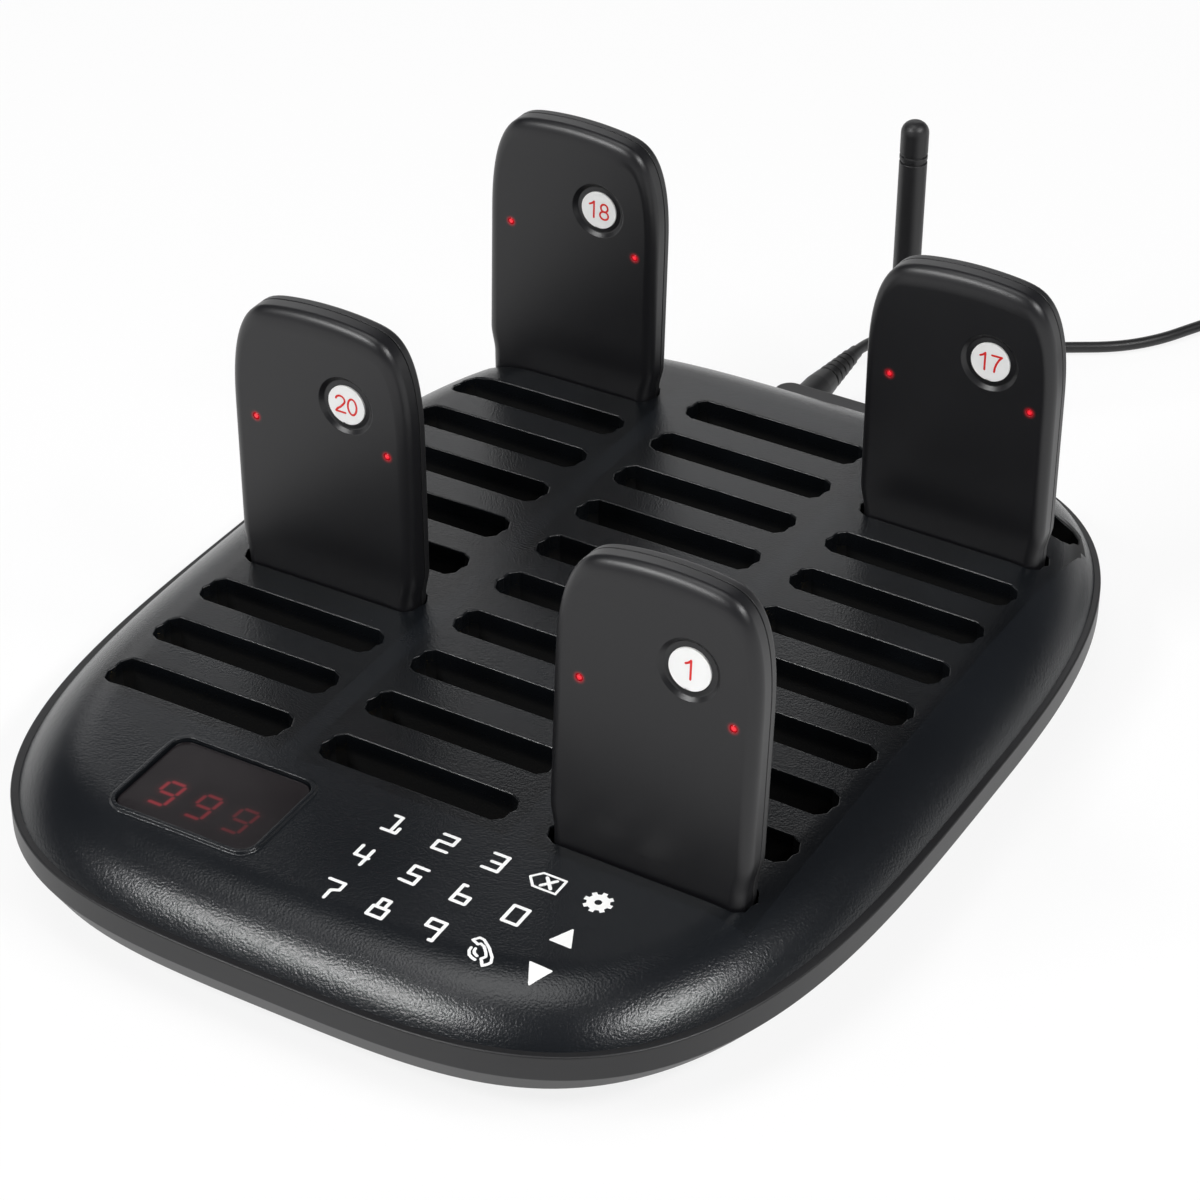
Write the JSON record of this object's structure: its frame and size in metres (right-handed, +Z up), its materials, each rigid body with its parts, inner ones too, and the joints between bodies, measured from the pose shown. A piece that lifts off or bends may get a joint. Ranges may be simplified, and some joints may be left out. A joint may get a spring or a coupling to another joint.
{
  "type": "guest pager system",
  "caption": "Counter-top charging and calling base with upright wells, paddle-shaped pagers standing in them, digit window, touch keys, rod antenna and power lead.",
  "frame": {"origin": "on the table under the middle of the footprint of base and antenna", "axes": "+Z up, +Y from the key field to the back, +X to the right"},
  "size_m": [0.3215, 0.4897, 0.1184],
  "materials": {
    "housing_black": "satin, fine grain",
    "window_smoked": "smoked, glossy",
    "digits_red": "dim red segments",
    "board_green": "solder mask",
    "metal_gold": "plated",
    "metal_steel": "plain",
    "pager_black": "satin",
    "disc_white": "matt",
    "lens_red": "lit red",
    "battery_grey": "film",
    "rubber_black": "matt",
    "lead_black": "smooth vinyl"
  },
  "bodies": {
    "base": {"top_shell": "housing_black", "slot_rack_left": "housing_black", "slot_rack_middle": "housing_black", "slot_rack_right": "housing_black", "charge_pins": "metal_gold", "bottom_shell": "housing_black", "rubber_feet": "rubber_black", "housing_screws": "metal_steel", "display_window": "window_smoked", "display_module": "digits_red", "keypad_board": "board_green", "main_board": "board_green", "buzzer": "housing_black", "charging_board": "board_green", "rf_module": "board_green", "dc_jack": "housing_black", "antenna_jack": "metal_gold", "antenna_coupler": "housing_black", "dc_plug": "lead_black", "plug_barrel": "metal_steel", "dc_cable": "lead_black", "dc_cable_tail": "lead_black", "cable_coil": "lead_black", "power_adapter": "housing_black", "adapter_prongs": "metal_steel"},
    "antenna_foot": {"antenna_elbow": "housing_black", "antenna_hinge_pin": "metal_steel"},
    "antenna_rod": {"antenna_whip": "rubber_black", "antenna_cap": "rubber_black"},
    "pager_20": {"pager_20_front_shell": "pager_black", "pager_20_rear_shell": "pager_black", "pager_20_number_disc": "disc_white", "pager_20_indicator_lenses": "lens_red", "pager_20_circuit_board": "board_green", "pager_20_battery": "battery_grey", "pager_20_charge_contacts": "metal_gold"},
    "pager_18": {"pager_18_front_shell": "pager_black", "pager_18_rear_shell": "pager_black", "pager_18_number_disc": "disc_white", "pager_18_indicator_lenses": "lens_red", "pager_18_circuit_board": "board_green", "pager_18_battery": "battery_grey", "pager_18_charge_contacts": "metal_gold"},
    "pager_1": {"pager_1_front_shell": "pager_black", "pager_1_rear_shell": "pager_black", "pager_1_number_disc": "disc_white", "pager_1_indicator_lenses": "lens_red", "pager_1_circuit_board": "board_green", "pager_1_battery": "battery_grey", "pager_1_charge_contacts": "metal_gold"},
    "pager_17": {"pager_17_front_shell": "pager_black", "pager_17_rear_shell": "pager_black", "pager_17_number_disc": "disc_white", "pager_17_indicator_lenses": "lens_red", "pager_17_circuit_board": "board_green", "pager_17_battery": "battery_grey", "pager_17_charge_contacts": "metal_gold"}
  },
  "joints": [
    {"name": "pager_20_lift", "type": "slide", "parent": "base", "child": "pager_20", "axis": [-0.0075, 0.0035, 1], "range_m": [0, 0.04]},
    {"name": "pager_18_lift", "type": "slide", "parent": "base", "child": "pager_18", "axis": [0.0181, 0.0035, 0.9998], "range_m": [0, 0.04]},
    {"name": "pager_1_lift", "type": "slide", "parent": "base", "child": "pager_1", "axis": [-0.0108, 0.0784, 0.9969], "range_m": [0, 0.04]},
    {"name": "pager_17_lift", "type": "slide", "parent": "base", "child": "pager_17", "axis": [-0.0085, 0.0058, 0.9999], "range_m": [0, 0.04]},
    {"name": "antenna_swivel", "type": "hinge", "parent": "base", "child": "antenna_foot", "pos_m": [0.0094, 0.155, 0.0165], "axis": [0, 1, 0], "range_deg": [-55, 90]},
    {"name": "antenna_fold", "type": "hinge", "parent": "antenna_foot", "child": "antenna_rod", "pos_m": [0.0094, 0.1637, 0.0165], "axis": [-1, 0, 0], "range_deg": [0, 90]}
  ]
}
